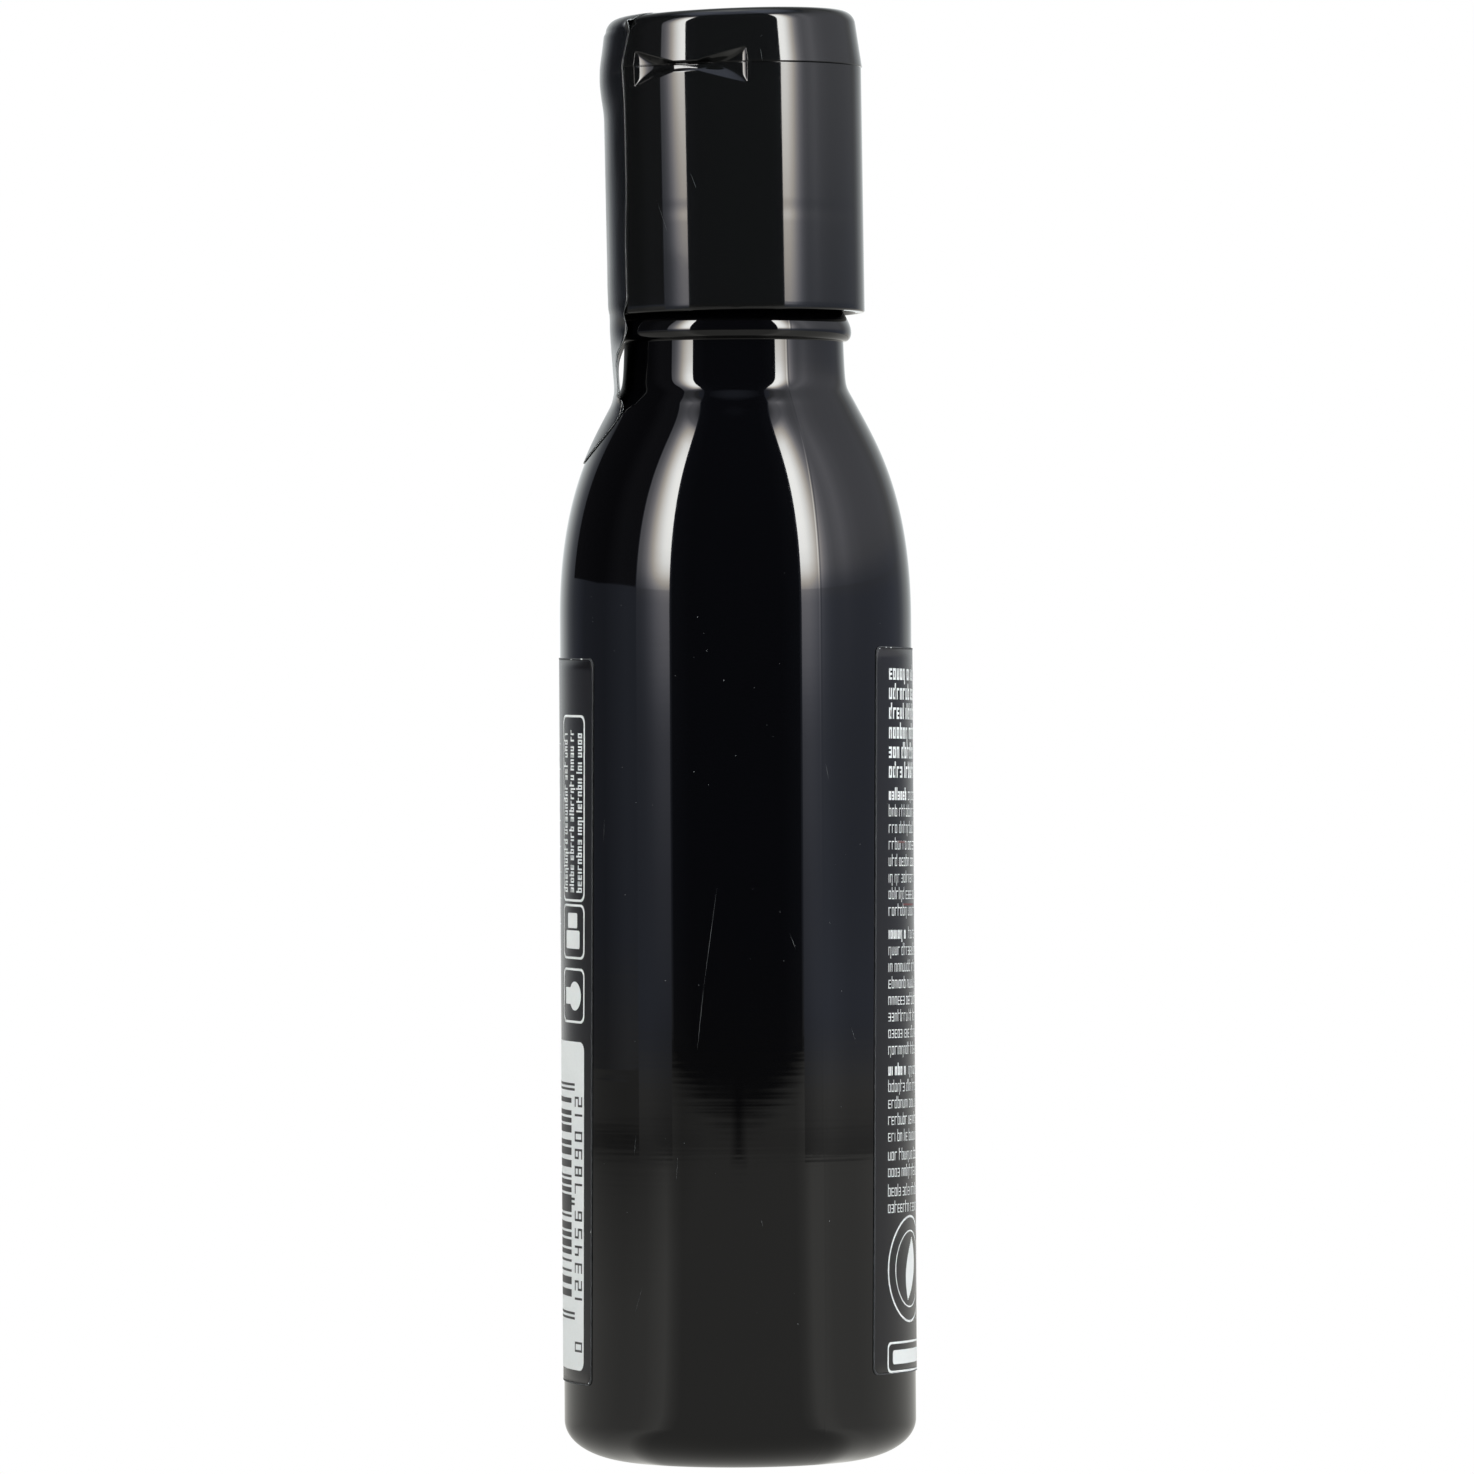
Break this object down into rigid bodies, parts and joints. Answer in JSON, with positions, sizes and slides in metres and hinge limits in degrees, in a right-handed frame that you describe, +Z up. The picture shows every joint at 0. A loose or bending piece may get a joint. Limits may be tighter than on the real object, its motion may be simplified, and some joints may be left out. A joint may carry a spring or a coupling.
{
  "type": "balsamic glaze bottle",
  "caption": "Black squeeze bottle of balsamic glaze with a shut flip-top cap, butterfly hinge, tamper strip over the cap and a wrap-round label.",
  "frame": {"origin": "middle of the base, on the surface the bottle stands on", "axes": "+Z up the bottle's axis, -Y out of the bare front between the label's two ends, -X out of the tamper strip"},
  "size_m": [0.0468, 0.0466, 0.1915],
  "materials": {
    "bottle_plastic": "glossy blow-moulded black",
    "cap_plastic": "glossy injection-moulded black",
    "seal_film": "satin black film",
    "label_paper": "satin coated black, printed in white"
  },
  "bodies": {
    "root": {"bottle": "bottle_plastic", "flip_cap": "cap_plastic", "seal_strip": "seal_film", "wrap_label": "label_paper"}
  },
  "joints": []
}
